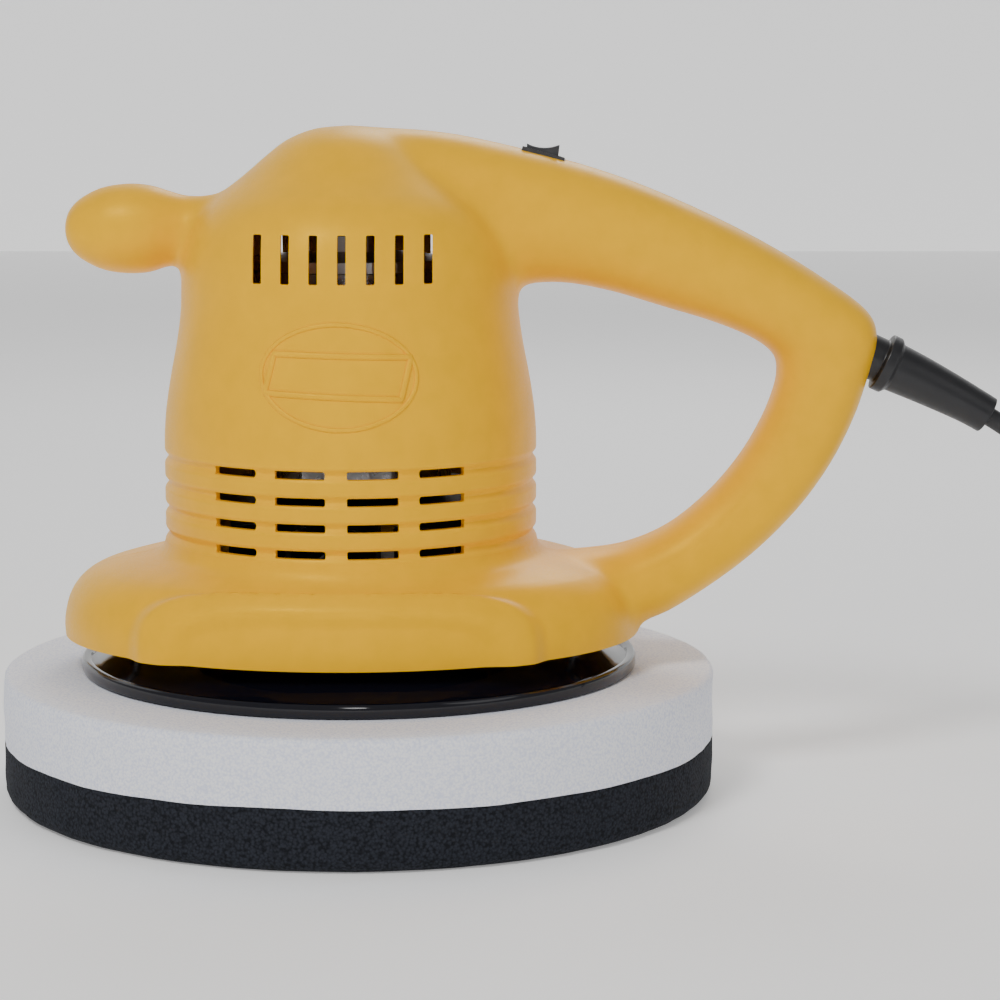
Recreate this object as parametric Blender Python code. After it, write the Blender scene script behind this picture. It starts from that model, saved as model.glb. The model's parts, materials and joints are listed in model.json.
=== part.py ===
"""Orbital car polisher: clamshell housing, direct-current motor, eccentric pad drive and foam pad.

Origin: where the motor axis meets the pad's working face. +X towards the handle, +Z up.
Lengths are in millimetres here, and new_object turns them into metres.
"""

import math

import bmesh
import bpy
from mathutils import Matrix, Vector

MM = 0.001
GAP = 0.3  # between pieces that touch

# Housing
WALL = 3.0
SPLIT = 0.15  # half the gap between the two halves
ROWS = (89.1, 97.6, 106.0, 114.5)  # heights of the louvre rows
ROW_HEIGHT = 2.7
LOUVRE_ANGLES = (-34.7, -12.7, 9.3, 31.3)  # from the front or the back, in degrees
LOUVRE_WIDTH = 16.4
VENT_X = [-27.0 + 9.03 * i for i in range(7)]
VENT_Z = 174.2, 189.6
VENT_WIDTH = 2.7
BARREL_R = 62.1
KNOB_Z = 189.3
BARREL = (  # radius and height, upwards from the top rib ring
    (62.1, 121.0), (61.4, 130.0), (59.7, 141.0), (57.5, 152.5), (56.1, 163.0), (55.8, 174.0),
    (54.9, 182.0), (52.4, 189.5), (48.6, 195.5), (44.2, 199.8), (38.5, 204.2), (33.0, 208.6),
    (27.5, 213.3), (20.5, 218.6), (11.0, 222.3), (0.0, 223.5),
)
KNOB = (  # x and radius
    (-94.5, 0.0), (-93.6, 4.5), (-91.0, 8.4), (-86.5, 11.6), (-80.5, 14.0), (-73.0, 14.9),
    (-66.0, 14.4), (-60.0, 12.6), (-53.0, 10.9), (-44.0, 11.6), (-34.0, 13.0),
)
SKIRT = (  # half length, half width and height, upwards from the lower edge
    (96.2, 76.0, 54.6), (96.5, 76.3, 58.0), (96.0, 75.9, 62.5), (94.4, 74.6, 68.0),
    (91.0, 72.0, 73.0), (85.5, 69.0, 76.8), (77.0, 66.0, 79.3), (66.0, 63.5, 81.6),
)
HANDLE = (  # outer x and z, inner x and z, half width, from the crown round to the skirt
    (0.0, 223.2, 30.0, 165.0, 22.0), (30.0, 221.3, 42.0, 168.0, 21.5),
    (62.0, 214.6, 66.0, 171.6, 19.6), (88.0, 207.1, 84.5, 169.2, 18.4),
    (112.0, 197.5, 104.5, 163.4, 17.6), (135.0, 186.3, 121.0, 158.4, 17.0),
    (155.5, 174.2, 134.0, 153.0, 16.6), (172.3, 161.8, 141.0, 147.6, 16.2),
    (175.5, 151.5, 142.2, 142.0, 16.0), (172.8, 141.0, 141.0, 135.5, 15.6),
    (168.3, 127.0, 137.0, 125.5, 15.0), (160.5, 111.0, 130.0, 113.5, 14.6),
    (149.5, 95.5, 119.5, 101.0, 14.6), (134.0, 80.0, 106.0, 90.0, 15.2),
    (115.5, 66.5, 91.0, 83.7, 17.0), (101.0, 58.6, 74.0, 81.5, 19.5), (86.0, 55.4, 58.0, 80.0, 22.0),
)
SQUARENESS = 2.3  # exponent of the handle's rounded section

# Screws that hold the halves: x and z of each
SCREWS = (
    (-78.0, 189.3), (-46.0, 150.0), (46.0, 150.0), (-83.0, 66.0),
    (83.0, 67.0), (108.0, 181.0), (155.0, 131.0), (127.0, 97.0),
)
SCREW_R, SCREW_HEAD_R, SCREW_HEAD, SEAT_Y, SCREW_END_Y = 1.7, 3.5, 2.5, 8.0, -10.0
POST_R = 5.0

# Drive
ORBIT = 5.0  # offset of the spindle from the motor axis
ORBIT_ANGLE = math.radians(62)
SPINDLE = (ORBIT * math.cos(ORBIT_ANGLE), ORBIT * math.sin(ORBIT_ANGLE))
SHAFT_R = 4.0
BEARING_R, BEARING_WIDTH = 11.0, 7.0
CAN_R, CAN_WALL, CAN_Z = 33.5, 2.0, (102.0, 176.0)
CORE_R, CORE_Z = 26.3, (114.0, 148.0)
FAN_R, FAN_Z, BLADES = 45.0, (76.0, 92.0), 9
BAFFLE_R, BAFFLE_Z = (20.0, 57.5), (99.9, 101.6)
COMMUTATOR_R, BRUSH_Z = 11.0, 165.0

# Pad and plate, round the spindle
PAD_R, PAD_SPLIT, PAD_TOP = 120.0, 19.5, 42.1
PLATE_R, PLATE_Z, PLATE_RIM = 93.5, 42.4, 46.8

# Switch, on the top of the handle
SWITCH_AT = (64.2, 0.0, 214.0)
SWITCH_TILT = math.radians(15.6)
ROCKER_PIVOT = -0.8  # height of the pivot in the switch's own frame
ROCKER_SWING = math.radians(13)  # either way from level

# Cord sleeve and cord
SLEEVE = (  # x, z and radius along its centre line
    (166.0, 150.4, 10.0), (169.0, 149.0, 10.0), (169.3, 148.8, 7.4), (177.0, 145.3, 7.4),
    (177.3, 145.1, 9.8), (180.3, 143.7, 9.8), (181.6, 143.1, 8.2), (190.0, 139.2, 7.7),
    (200.0, 134.2, 7.0), (207.5, 130.2, 6.5), (213.0, 127.0, 6.3),
)
CORD_D = 6.5
ROUTE = (  # from the sleeve's end to the coil
    (213.3, 0.0, 126.8), (223.0, 0.0, 120.4), (231.5, 0.0, 112.0), (238.5, -1.0, 101.0),
    (243.5, -2.0, 88.0), (247.0, -3.0, 74.0), (250.0, -3.5, 59.0), (254.0, -3.5, 44.5),
    (260.5, -3.0, 31.0), (270.0, -2.0, 19.0), (282.0, -1.0, 9.8), (295.0, 0.0, 4.9),
    (307.0, 0.0, 3.4),
)
COIL_AT = (332.0, 45.5)
COIL_R, COIL_Z = (22.75, 48.75), (1.1, 20.6)
PLUG_AT = (376.0, 99.0, 10.2)
LEAD_D = 2.0


# ---------------------------------------------------------------- making things


def clear_scene():
    for obj in list(bpy.data.objects):
        bpy.data.objects.remove(obj, do_unlink=True)


def material(name, colour, roughness, metallic=0.0):
    mat = bpy.data.materials.new(name)
    mat.use_nodes = True
    shader = mat.node_tree.nodes["Principled BSDF"]
    shader.inputs["Base Color"].default_value = (*colour, 1.0)
    shader.inputs["Roughness"].default_value = roughness
    shader.inputs["Metallic"].default_value = metallic
    mat.diffuse_color = (*colour, 1.0)
    return mat


def new_object(name, bm, mat, pivot=None):
    """A mesh object from a bmesh in millimetres, parented to its joint's empty if it has one."""
    bmesh.ops.remove_doubles(bm, verts=bm.verts, dist=1e-4)
    bmesh.ops.recalc_face_normals(bm, faces=bm.faces)
    origin = pivot.location.copy() if pivot else Vector((0, 0, 0))
    bm.transform(Matrix.Translation(-origin) @ Matrix.Scale(MM, 4))
    mesh = bpy.data.meshes.new(name)
    bm.to_mesh(mesh)
    bm.free()
    mesh.shade_smooth()
    mesh.set_sharp_from_angle(angle=math.radians(38))
    mesh.materials.append(mat)
    obj = bpy.data.objects.new(name, mesh)
    obj.parent = pivot
    bpy.context.collection.objects.link(obj)
    return obj


def empty(name, x, y, z):
    obj = bpy.data.objects.new(name, None)
    obj.location = Vector((x, y, z)) * MM
    bpy.context.collection.objects.link(obj)
    return obj


def turned(profile, steps, matrix=None):
    """A solid turned about Z from a closed outline of (radius, height) points."""
    bm = bmesh.new()
    verts = [bm.verts.new((r, 0, z)) for r, z in profile]
    for a, b in zip(verts, verts[1:] + verts[:1]):
        if a.co.x > 0 or b.co.x > 0:
            bm.edges.new((a, b))
    bmesh.ops.spin(bm, geom=bm.verts[:] + bm.edges[:], cent=(0, 0, 0), axis=(0, 0, 1),
                   angle=2 * math.pi, steps=steps, use_merge=True)
    bmesh.ops.remove_doubles(bm, verts=bm.verts, dist=1e-3)
    if matrix:
        bm.transform(matrix)
    return bm


def tube_profile(inner, outer, low, high, chamfer=0.0):
    c = chamfer
    return [(inner, low), (outer - c, low), (outer, low + c), (outer, high - c), (outer - c, high),
            (inner, high)] if c else [(inner, low), (outer, low), (outer, high), (inner, high)]


def block(low, high, matrix=None):
    bm = bmesh.new()
    bmesh.ops.create_cube(bm, size=1.0)
    low, high = Vector(low), Vector(high)
    bmesh.ops.scale(bm, vec=high - low, verts=bm.verts)
    bmesh.ops.translate(bm, vec=(low + high) / 2, verts=bm.verts)
    if matrix:
        bm.transform(matrix)
    return bm


def rounded_block(low, high, radius, matrix=None):
    bm = block(low, high)
    bmesh.ops.bevel(bm, geom=bm.edges[:], offset=radius, segments=2, profile=0.5, affect="EDGES")
    if matrix:
        bm.transform(matrix)
    return bm


def prism(outline, low, high, matrix=None):
    """An outline in X and Y, extruded from one height to another."""
    bm = bmesh.new()
    face = bm.faces.new([bm.verts.new((x, y, low)) for x, y in outline])
    grown = bmesh.ops.extrude_face_region(bm, geom=[face])
    verts = [v for v in grown["geom"] if isinstance(v, bmesh.types.BMVert)]
    bmesh.ops.translate(bm, vec=(0, 0, high - low), verts=verts)
    if matrix:
        bm.transform(matrix)
    return bm


def loft(rings):
    """A solid through rings of points, with its two ends closed."""
    bm = bmesh.new()
    made = [[bm.verts.new(p) for p in ring] for ring in rings]
    count = len(made[0])
    for one, two in zip(made, made[1:]):
        for i in range(count):
            j = (i + 1) % count
            bm.faces.new((one[i], one[j], two[j], two[i]))
    bm.faces.new(made[0])
    bm.faces.new(reversed(made[-1]))
    return bm


def merged(*parts):
    """Several bmeshes as one, still separate bodies, for use as a cutter or before a union."""
    whole = bmesh.new()
    for part in parts:
        mesh = bpy.data.meshes.new("part")
        part.to_mesh(mesh)
        part.free()
        whole.from_mesh(mesh)
        bpy.data.meshes.remove(mesh)
    return whole


def boolean(obj, tool, operation):
    """Joins, cuts or intersects obj with the bmesh tool, and keeps the result as obj's mesh."""
    other = new_object("tool", tool, obj.data.materials[0])
    modifier = obj.modifiers.new(operation.lower(), "BOOLEAN")
    modifier.operation = operation
    modifier.solver = "EXACT"
    modifier.object = other
    bpy.context.view_layer.update()
    result = bpy.data.meshes.new_from_object(obj.evaluated_get(bpy.context.evaluated_depsgraph_get()))
    obj.modifiers.clear()
    old, obj.data = obj.data, result
    result.name = obj.name
    bpy.data.meshes.remove(old)
    bpy.data.objects.remove(other, do_unlink=True)


def tube(name, route, diameter, spacing, mat, resolution=2):
    """A round cord on a smooth curve through the route's points."""
    data = bpy.data.curves.new(name, "CURVE")
    data.dimensions = "3D"
    data.bevel_depth = diameter / 2 * MM
    data.bevel_resolution = resolution
    data.use_fill_caps = True
    points = smooth(route, spacing)
    spline = data.splines.new("POLY")
    spline.points.add(len(points) - 1)
    for point, place in zip(spline.points, points):
        point.co = (*(place * MM), 1.0)
    data.materials.append(mat)
    obj = bpy.data.objects.new(name, data)
    bpy.context.collection.objects.link(obj)
    return obj


# ---------------------------------------------------------------- geometry


def spline_at(points, place):
    """A Catmull-Rom curve through rows of numbers, at a place from 0 to the last row."""
    last = len(points) - 1
    i = min(int(place), last - 1)
    t = place - i
    a, b, c, d = (points[min(max(k, 0), last)] for k in (i - 1, i, i + 1, i + 2))
    return [
        0.5 * (2 * q + (r - p) * t + (2 * p - 5 * q + 4 * r - s) * t * t + (3 * q - p - 3 * r + s) * t ** 3)
        for p, q, r, s in zip(a, b, c, d)
    ]


def smooth(route, spacing):
    """Points a given distance apart along the smooth curve through a route."""
    fine = 24
    dense = [Vector(spline_at(route, i / fine)) for i in range(fine * (len(route) - 1) + 1)]
    total = sum((b - a).length for a, b in zip(dense, dense[1:]))
    count = max(2, round(total / spacing))
    points, travelled, target = [dense[0]], 0.0, total / count
    for a, b in zip(dense, dense[1:]):
        step = (b - a).length
        while travelled + step >= target and len(points) < count:
            points.append(a.lerp(b, (target - travelled) / step))
            target += total / count
        travelled += step
    return points + [dense[-1]]


def inset(points, distance):
    """An outline of (across, height) points moved towards its inside, which lies on its left."""
    moved = []
    for i, (x, z) in enumerate(points):
        x0, z0 = points[max(i - 1, 0)]
        x1, z1 = points[min(i + 1, len(points) - 1)]
        dx, dz = x1 - x0, z1 - z0
        length = math.hypot(dx, dz)
        moved.append((x - distance * dz / length, z + distance * dx / length))
    return moved


def superellipse(angle, exponent):
    c, s = math.cos(angle), math.sin(angle)
    return (math.copysign(abs(c) ** (2 / exponent), c), math.copysign(abs(s) ** (2 / exponent), s))


def along_x(z):
    """Turns a solid made about Z so that its axis runs along X at a height."""
    return Matrix.Translation((0, 0, z)) @ Matrix.Rotation(math.pi / 2, 4, "Y")


def along_y(x, z):
    """Turns a solid made about Z so that its axis runs along Y."""
    return Matrix.Translation((x, 0, z)) @ Matrix.Rotation(-math.pi / 2, 4, "X")


def at(x, y, z=0.0):
    return Matrix.Translation((x, y, z))


def switch_frame():
    return Matrix.Translation(SWITCH_AT) @ Matrix.Rotation(SWITCH_TILT, 4, "Y")


# ---------------------------------------------------------------- housing


def barrel(depth, steps):
    """The round motor barrel, its surface moved in by depth."""
    points = [(BARREL_R, 70.0)]
    points += BARREL if not depth else BARREL[::2] + BARREL[-1:]
    if depth:
        points = inset(points, depth)
        points[-1] = (0.0, points[-1][1])
    return turned(points + [(0.0, 70.0)], steps)


def knob(depth, steps):
    outline = inset([(r, x) for x, r in KNOB], depth)
    outline[0] = (0.0, outline[0][1])
    return turned(outline + [(0.0, KNOB[-1][0])], steps, along_x(KNOB_Z))


def skirt(depth, steps):
    """The elliptical skirt, open below where its surface is moved in."""
    edge = inset([(a, z) for a, _, z in SKIRT], depth)
    rings = []
    for (a, b, _), (moved, z) in zip(SKIRT, edge):
        rings.append((moved, b - (a - moved), z))
    if depth:
        rings[0] = (*rings[1][:2], SKIRT[0][2] - 2 * WALL)
    turns = [2 * math.pi * i / steps for i in range(steps)]
    return loft([[(a * math.cos(t), b * math.sin(t), z) for t in turns] for a, b, z in rings])


def handle(depth, steps):
    """The D handle, as rounded sections between its outer and inner outlines."""
    rings = []
    between = 1 if depth else 2
    for i in range(between * (len(HANDLE) - 1) + 1):
        ox, oz, ix, iz, width = spline_at(HANDLE, i / between)
        middle = Vector(((ox + ix) / 2, 0, (oz + iz) / 2))
        reach = Vector(((ox - ix) / 2, 0, (oz - iz) / 2))
        deep = reach.normalized() * (reach.length - depth)
        wide = Vector((0, width - depth, 0))
        ring = []
        for k in range(steps):
            c, s = superellipse(2 * math.pi * k / steps, SQUARENESS)
            ring.append(middle + deep * c + wide * s)
        rings.append(ring)
    return loft(rings)


def housing_body(name, depth, mat, detail):
    """The joined outer form of the housing, moved in by depth."""
    obj = new_object(name, barrel(depth, detail[0]), mat)
    for form, steps in ((skirt, detail[1]), (handle, detail[2]), (knob, detail[3])):
        boolean(obj, form(depth, steps), "UNION")
    return obj


def copy_bmesh(obj):
    """An object's mesh as a bmesh in millimetres."""
    bm = bmesh.new()
    bm.from_mesh(obj.data)
    bm.transform(Matrix.Scale(1 / MM, 4))
    return bm


def supports(mat, form):
    """Screw posts and the two rings that carry the motor, kept inside the housing's form."""
    reach = 80.0
    obj = new_object("supports", turned(tube_profile(17.5, 62.0, 189.7, 193.4), 24), mat)
    boolean(obj, turned(tube_profile(CAN_R + 2 * GAP, 66.0, 119.6, 122.6), 28), "UNION")
    boolean(obj, block((28.0, -14.0, 186.0), (70.0, 14.0, 196.0)), "DIFFERENCE")
    for x, z in SCREWS:
        boolean(obj, turned([(0, -reach), (POST_R, -reach), (POST_R, reach), (0, reach)], 8,
                            along_y(x, z)), "UNION")
    boolean(obj, copy_bmesh(form), "INTERSECT")
    tools = copy_bmesh(obj)
    bpy.data.objects.remove(obj, do_unlink=True)
    return tools


def openings():
    """Louvres, vents and screw holes, as one cutter."""
    cutters = []
    for side in (-90, 90):
        for z in ROWS:
            for angle in LOUVRE_ANGLES:
                turn = Matrix.Rotation(math.radians(side + angle), 4, "Z")
                half = LOUVRE_WIDTH / 2, ROW_HEIGHT / 2
                cutters.append(block((53.0, -half[0], z - half[1]), (67.0, half[0], z + half[1]), turn))
    for x in VENT_X:
        half = VENT_WIDTH / 2
        for low, high in ((-62.0, -36.0), (36.0, 62.0)):
            cutters.append(block((x - half, low, VENT_Z[0]), (x + half, high, VENT_Z[1])))
    for x, z in SCREWS:
        hole, bore, far = SCREW_R + GAP, SCREW_HEAD_R + 0.4, 90.0
        outline = [(0, SCREW_END_Y - 1), (hole, SCREW_END_Y - 1), (hole, SEAT_Y), (bore, SEAT_Y),
                   (bore, far), (0, far)]
        cutters.append(turned(outline, 8, along_y(x, z)))
    return merged(*cutters)


def make_housing(mat):
    form = housing_body("form", 0.0, mat, (32, 36, 14, 12))
    middle = housing_body("middle", WALL / 2, mat, (30, 32, 12, 10))
    cavity = housing_body("cavity", WALL, mat, (24, 28, 10, 8))
    shell = new_object("shell", copy_bmesh(form), mat)
    boolean(shell, copy_bmesh(cavity), "DIFFERENCE")
    boolean(shell, supports(mat, middle), "UNION")
    frame = switch_frame()
    seat = block((-7.5, -5.5, -1.5), (7.5, 5.5, 12.0), frame)
    through = block((-6.9, -4.7, -25.0), (6.9, 4.7, 12.0), frame)
    for cutter in (openings(), seat, through, sleeve_hole()):
        boolean(shell, cutter, "DIFFERENCE")
    far = 260.0
    for name, low, high in (("housing_front", -far, -SPLIT), ("housing_back", SPLIT, far)):
        half = new_object(name, copy_bmesh(shell), mat)
        boolean(half, block((-far, low, -far), (far, high, far)), "INTERSECT")
    for obj in (form, middle, cavity, shell):
        bpy.data.objects.remove(obj, do_unlink=True)


def make_housing_screws(mat):
    shank, head = SCREW_R, SCREW_HEAD_R
    top = SEAT_Y + GAP + SCREW_HEAD
    outline = [(0, SCREW_END_Y), (shank * 0.5, SCREW_END_Y), (shank, SCREW_END_Y + 2),
               (shank, SEAT_Y + GAP), (head, SEAT_Y + GAP), (head, top - 0.8), (head - 1.0, top), (0, top)]
    first = new_object("housing_screw_1", turned(outline, 8, along_y(0, 0)), mat)
    for number, (x, z) in enumerate(SCREWS, 1):
        obj = first
        if number > 1:
            obj = bpy.data.objects.new(f"housing_screw_{number}", first.data)
            bpy.context.collection.objects.link(obj)
        obj.location = Vector((x, 0, z)) * MM


# ---------------------------------------------------------------- motor


def make_motor_case(steel, alloy, black, rubber):
    low, high = CAN_Z
    r, w = CAN_R, CAN_WALL
    seat = BEARING_R + GAP
    can = [(5.5, low), (5.5, low + w), (r - w, low + w), (r - w, high), (r, high), (r, low + 3),
           (r - 3, low), (seat + w, low), (seat + w, low - 8), (seat, low - 8), (seat, low)]
    new_object("motor_can", turned(can, 28), steel)
    top = high + GAP
    cap = [(seat, top), (r, top), (r, top + 3.5), (13.6, top + 6), (13.6, 193.0), (0, 193.0), (0, 190.0),
           (5.0, 190.0), (5.0, top + 9), (seat, top + 9)]
    new_object("motor_end_cap", turned(cap, 24), alloy)
    new_object("support_ring", turned(tube_profile(13.9, 17.0, 187.5, 193.5, 0.6), 24), rubber)
    for name, base in (("bearing_lower", low - 7.5), ("bearing_upper", top + 1.2)):
        ring = tube_profile(SHAFT_R + GAP, BEARING_R, base, base + BEARING_WIDTH, 0.6)
        new_object(name, turned(ring, 20), steel)
    new_object("fan_baffle", turned(tube_profile(*BAFFLE_R, *BAFFLE_Z), 32), black)


def make_magnets(mat):
    inner, outer, steps, reach = 27.5, 31.2, 8, math.radians(62)
    for name, middle in (("magnet_1", 0.0), ("magnet_2", math.pi)):
        angles = [middle - reach + 2 * reach * i / steps for i in range(steps + 1)]
        outline = [(outer * math.cos(a), outer * math.sin(a)) for a in angles]
        outline += [(inner * math.cos(a), inner * math.sin(a)) for a in reversed(angles)]
        new_object(name, prism(outline, 110.0, 152.0), mat)


def make_brushes(brass, carbon):
    for number, turn in ((1, 0.0), (2, math.pi)):
        spin = Matrix.Rotation(turn, 4, "Z")
        holder = block((13.0, -5.0, 160.0), (29.0, 5.0, 175.8), spin)
        holder = new_object(f"brush_holder_{number}", holder, brass)
        tunnel = block((10.0, -3.2, BRUSH_Z - 2.7), (30.0, 3.2, BRUSH_Z + 2.7), spin)
        boolean(holder, tunnel, "DIFFERENCE")
        brush = block((COMMUTATOR_R + GAP, -2.9, BRUSH_Z - 2.4), (25.0, 2.9, BRUSH_Z + 2.4), spin)
        new_object(f"carbon_brush_{number}", brush, carbon)


def make_armature(pivot, steel, core, copper):
    shaft = [(0, 61.5), (SHAFT_R - 0.5, 61.5), (SHAFT_R, 62.0), (SHAFT_R, 187.0), (0, 187.0)]
    new_object("motor_shaft", turned(shaft, 16), steel, pivot)
    teeth, outline = 8, []
    for i in range(teeth):
        middle = 2 * math.pi * i / teeth
        for r, a in ((15.0, -0.24), (23.6, -0.13), (CORE_R, -0.30), (CORE_R, -0.1), (CORE_R, 0.1),
                     (CORE_R, 0.30), (23.6, 0.13), (15.0, 0.24)):
            outline.append((r * math.cos(middle + a), r * math.sin(middle + a)))
    star = new_object("armature_core", prism(outline, *CORE_Z), core)
    boolean(star, turned(tube_profile(0, SHAFT_R + GAP, 100.0, 160.0), 16), "DIFFERENCE")
    attach(star, pivot)
    upper, lower = (CORE_Z[1] + GAP, 156.5), (105.5, CORE_Z[0] - GAP)
    for name, (low, high) in (("winding_upper", upper), ("winding_lower", lower)):
        ring = tube_profile(SHAFT_R + GAP, 23.5, low, high, 2.6)
        new_object(name, turned(ring, 24), copper, pivot)
    bars = tube_profile(SHAFT_R + GAP, COMMUTATOR_R, 157.0, 173.0, 0.5)
    new_object("commutator", turned(bars, 24), copper, pivot)


def attach(obj, pivot):
    """Hangs an object made at the world's origin on its joint's empty, without moving it."""
    obj.data.transform(Matrix.Translation(-pivot.location))
    obj.parent = pivot


def make_fan(pivot, mat):
    low, high = FAN_Z
    wheel = [(SHAFT_R + GAP, low), (FAN_R, low), (FAN_R, low + 1.6), (12.0, low + 1.6), (9.5, low + 4),
             (9.5, high), (SHAFT_R + GAP, high)]
    fan = new_object("fan", turned(wheel, 36), mat)
    for i in range(BLADES):
        spin = Matrix.Rotation(2 * math.pi * i / BLADES, 4, "Z") @ at(34.0, 0) @ Matrix.Rotation(0.35, 4, "Z")
        boolean(fan, block((-11.5, -0.9, low + 0.8), (9.5, 0.9, high), spin), "UNION")
    attach(fan, pivot)


def make_counterweight(pivot, iron, steel):
    """Hub on the motor shaft with the spindle under it and the balance weight on the far side."""
    x, y = SPINDLE
    reach, weight_r, steps = math.radians(75), 34.0, 12
    far = ORBIT_ANGLE + math.pi
    angles = [far - reach + 2 * reach * i / steps for i in range(steps + 1)]
    outline = [(weight_r * math.cos(a), weight_r * math.sin(a)) for a in angles]
    outline += [(8.0 * math.cos(a), 8.0 * math.sin(a)) for a in reversed(angles)]
    hub = new_object("counterweight", turned([(0, 58.5), (15.0, 58.5), (15.0, 74.0), (0, 74.0)], 24), iron)
    boolean(hub, prism(outline, 60.5, 72.0), "UNION")
    boolean(hub, turned([(0, 47.9), (5.9, 47.9), (5.9, 57.0), (8.5, 57.0), (8.5, 60.0), (0, 60.0)], 20,
                        at(x, y)), "UNION")
    across = Matrix.Rotation(ORBIT_ANGLE, 4, "Z") @ along_x(68.0)
    shaft_bore = turned([(0, 61.2), (SHAFT_R + GAP, 61.2), (SHAFT_R + GAP, 80.0), (0, 80.0)], 16)
    bolt_bore = turned([(0, 40.0), (2.8, 40.0), (2.8, 58.0), (0, 58.0)], 12, at(x, y))
    grub_bore = turned([(0, 2.0), (2.3, 2.0), (2.3, 20.0), (0, 20.0)], 12, across)
    for bore in (shaft_bore, bolt_bore, grub_bore):
        boolean(hub, bore, "DIFFERENCE")
    attach(hub, pivot)
    screw = [(0, SHAFT_R + GAP), (2.0, SHAFT_R + GAP), (2.0, 14.5), (0, 14.5)]
    new_object("grub_screw", turned(screw, 12, across), steel, pivot)
    bolt = [(0, 43.9), (4.2, 43.9), (4.2, 46.3), (2.5, 46.3), (2.5, 57.5), (0, 57.5)]
    new_object("spindle_bolt", turned(bolt, 12, at(x, y)), steel, pivot)
    new_object("spindle_washer", turned(tube_profile(2.8, 8.0, 46.6, 47.6), 16, at(x, y)), steel, pivot)


# ---------------------------------------------------------------- pad


def make_pad(pivot, plate, steel, hook, white, dark):
    place = at(*SPINDLE)
    new_object("pad_bearing", turned(tube_profile(6.2, 14.0, 48.2, 56.2, 0.6), 24, place), steel, pivot)
    low, rim, r = PLATE_Z, PLATE_RIM, PLATE_R
    recess = low + 1.3
    dish = [(10.0, recess), (90.0, recess), (90.0, low), (r - 0.6, low), (r, low + 0.6), (r, rim - 0.8),
            (r - 0.8, rim), (r - 2.6, rim), (r - 5.0, 46.0), (84.0, 47.6), (76.0, 50.6), (66.0, 52.2),
            (24.0, 52.2), (18.5, 53.5), (18.0, 57.0), (14.3, 57.0), (14.3, 47.9), (10.0, 47.9)]
    new_object("backing_plate", turned(dish, 32, place), plate, pivot)
    new_object("hook_layer", turned(tube_profile(12.0, 89.6, low, recess - GAP), 32, place), hook, pivot)
    top, split, radius = PAD_TOP, PAD_SPLIT, PAD_R
    upper = [(0, split + GAP), (radius, split + GAP), (radius, top - 1.6), (radius - 1.6, top), (0, top)]
    new_object("foam_white", turned(upper, 48, place), white, pivot)
    lower = [(0, 0), (radius - 5, 0), (radius - 1.5, 1.5), (radius, 5), (radius, split), (0, split)]
    new_object("foam_dark", turned(lower, 48, place), dark, pivot)


# ---------------------------------------------------------------- switch and wiring


def make_switch(pivot, black, brass):
    frame = switch_frame()
    case = new_object("switch_case", block((-7.2, -5.2, -1.2), (7.2, 5.2, 0.6), frame), black)
    boolean(case, block((-6.6, -4.4, -14.0), (6.6, 4.4, -0.8), frame), "UNION")
    boolean(case, block((-6.2, -3.9, -6.0), (6.2, 3.9, 3.0), frame), "DIFFERENCE")
    for number, x in ((1, -4.0), (2, 4.0)):
        blade = block((x - 0.4, -2.4, -20.5), (x + 0.4, 2.4, -14.3), frame)
        new_object(f"switch_terminal_{number}", blade, brass)
    outline = [(-5.4, 3.9), (-2.8, 3.0), (0.0, 2.7), (2.8, 3.0), (5.4, 3.9), (5.0, -1.5), (0.0, -4.0),
               (-5.0, -1.5)]
    turn = frame @ at(0, 0, ROCKER_PIVOT) @ Matrix.Rotation(-ROCKER_SWING, 4, "Y")
    upright = Matrix.Rotation(math.pi / 2, 4, "X")
    new_object("rocker", prism(outline, -3.6, 3.6, turn @ upright), black, pivot)


def make_electrics(black, brown):
    new_object("rectifier", rounded_block((-14.0, -8.0, 196.5), (2.0, 8.0, 202.5), 0.6), black)
    new_object("capacitor", rounded_block((8.0, -9.0, 196.5), (18.0, 9.0, 209.0), 0.8), brown)


def make_leads(brown, blue, red, black):
    live = ((146.5, 1.6, 159.6), (133.0, 2.0, 170.5), (119.0, 3.0, 184.0), (106.0, 3.0, 191.0),
            (90.0, 2.0, 192.5), (76.0, 1.0, 189.5), (66.0, 0.3, 187.0), (62.3, 0.0, 191.8))
    neutral = ((146.5, -1.6, 158.4), (130.0, -4.0, 164.0), (110.0, -7.0, 171.0), (84.0, -8.0, 178.0),
               (54.0, -7.0, 192.0), (34.0, -5.5, 198.5), (18.7, -4.0, 202.0))
    switched = ((54.6, 0.0, 193.8), (51.5, 0.5, 189.5), (43.0, 1.5, 191.5), (33.0, 3.0, 199.0),
                (18.7, 4.0, 204.5))
    motor = ((-3.0, -4.0, 203.9), (4.0, -11.5, 211.5), (20.0, -13.0, 208.0), (32.0, -11.5, 198.0),
             (33.5, -10.0, 189.0), (31.0, -8.0, 181.5))
    other_motor = [(x, -y, z) for x, y, z in motor]
    leads = (
        ("lead_live", live, brown), ("lead_neutral", neutral, blue), ("lead_switched", switched, black),
        ("lead_motor_1", motor, red), ("lead_motor_2", other_motor, black),
    )
    for name, route, mat in leads:
        tube(name, route, LEAD_D, 3.5 * LEAD_D, mat)


# ---------------------------------------------------------------- cord


def sleeve_rings(rows):
    """Rings of points round a centre line given as (x, z, radius) rows."""
    rings, steps = [], 16
    for i, (x, z, r) in enumerate(rows):
        x0, z0, _ = rows[max(i - 1, 0)]
        x1, z1, _ = rows[min(i + 1, len(rows) - 1)]
        across = Vector((-(z1 - z0), 0, x1 - x0)).normalized()
        middle = Vector((x, 0, z))
        turns = [2 * math.pi * k / steps for k in range(steps)]
        rings.append([middle + (across * math.cos(t) + Vector((0, math.sin(t), 0))) * r for t in turns])
    return rings


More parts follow.
